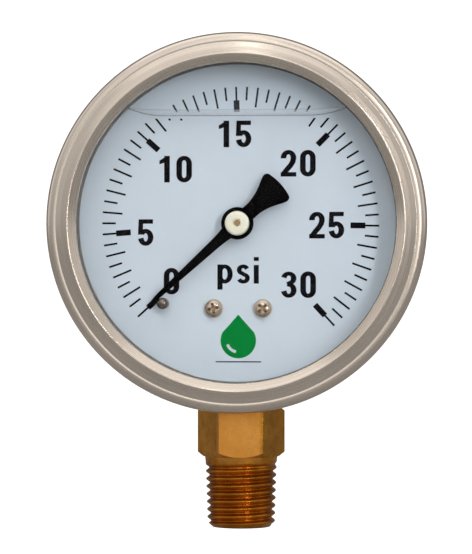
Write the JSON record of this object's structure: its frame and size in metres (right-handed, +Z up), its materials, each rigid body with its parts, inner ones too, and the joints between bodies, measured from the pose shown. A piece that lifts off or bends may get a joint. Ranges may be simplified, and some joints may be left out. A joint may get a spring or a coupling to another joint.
{
  "type": "pressure gauge",
  "caption": "Round liquid-filled Bourdon tube pressure gauge: steel case and bezel, black pointer over a white dial, and a brass stem below with a wrench hexagon and a tapered pipe thread.",
  "frame": {"origin": "centre of the brass stem's bottom end, on the pipe thread's axis", "axes": "+X to the right of the dial, +Y from the reader towards the case's back, +Z up along the stem's axis"},
  "size_m": [0.069, 0.0323, 0.0905],
  "materials": {
    "case_steel": "satin stainless steel with a faint turned grain",
    "bezel_steel": "polished stainless steel, rolled and crimped",
    "window": "clear and glossy",
    "gasket_rubber": "matt black",
    "plug_rubber": "matt black moulded",
    "dial_enamel": "white enamel, slightly satin, printed black scale",
    "pointer_black": "satin black paint",
    "bushing_brass": "turned, bright",
    "stem_brass": "forged and machined, slightly darkened",
    "movement_brass": "stamped, satin",
    "tube_bronze": "phosphor bronze, drawn",
    "spring_bronze": "phosphor bronze strip",
    "arbor_steel": "ground steel",
    "screw_nickel": "nickel plated",
    "washer_fibre": "red vulcanised fibre"
  },
  "bodies": {
    "case": {"case_shell": "case_steel", "bezel_ring": "bezel_steel", "window": "window", "window_gasket": "gasket_rubber", "fill_plug": "plug_rubber", "dial_plate": "dial_enamel", "dial_screw_left": "screw_nickel", "dial_screw_right": "screw_nickel", "stop_pin": "bushing_brass", "socket": "stem_brass", "socket_seal": "gasket_rubber", "restrictor_screw": "movement_brass", "bourdon_tube": "tube_bronze", "movement_back_plate": "movement_brass", "movement_front_plate": "movement_brass", "movement_post_left": "movement_brass", "movement_post_right": "movement_brass", "movement_screw_left": "screw_nickel", "movement_screw_right": "screw_nickel", "mounting_screw_left": "screw_nickel", "mounting_screw_right": "screw_nickel", "hairspring": "spring_bronze", "hairspring_stud": "movement_brass", "case_screw_left": "screw_nickel", "case_screw_right": "screw_nickel", "case_washer_left": "washer_fibre", "case_washer_right": "washer_fibre"},
    "pointer": {"pointer": "pointer_black", "pointer_bushing": "bushing_brass", "pinion_arbor": "arbor_steel", "hairspring_collet": "movement_brass"},
    "sector": {"sector_gear": "movement_brass", "sector_arbor": "arbor_steel", "link_pin_tail": "arbor_steel"},
    "link": {"link": "movement_brass"},
    "tube_tip": {"tube_end_piece": "tube_bronze", "link_pin_tip": "arbor_steel"}
  },
  "joints": [
    {"name": "pointer_turn", "type": "hinge", "parent": "case", "child": "pointer", "pos_m": [0, 0, 0.056], "axis": [0, 1, 0], "range_deg": [0, 270], "stiffness_Nm_per_rad": 0.0001, "springref_deg": -34.38, "deforming": ["hairspring"]},
    {"name": "sector_turn", "type": "hinge", "parent": "case", "child": "sector", "pos_m": [0, 0, 0.041], "axis": [0, 1, 0], "range_deg": [-30, 0]},
    {"name": "link_turn", "type": "hinge", "parent": "sector", "child": "link", "pos_m": [0.00205, 0, 0.03536], "axis": [0, 1, 0], "range_deg": [0, 29.4]},
    {"name": "tube_tip_travel", "type": "slide", "parent": "case", "child": "tube_tip", "axis": [0.788, 0, 0.6157], "range_m": [0, 0.00311], "deforming": ["bourdon_tube"]}
  ],
  "couplings": [
    {"joint": "sector_turn", "follows": "pointer_turn", "ratio": -0.11111},
    {"joint": "link_turn", "follows": "pointer_turn", "ratio": 0.1085},
    {"joint": "tube_tip_travel", "follows": "pointer_turn", "m_per_rad": 0.000658}
  ]
}
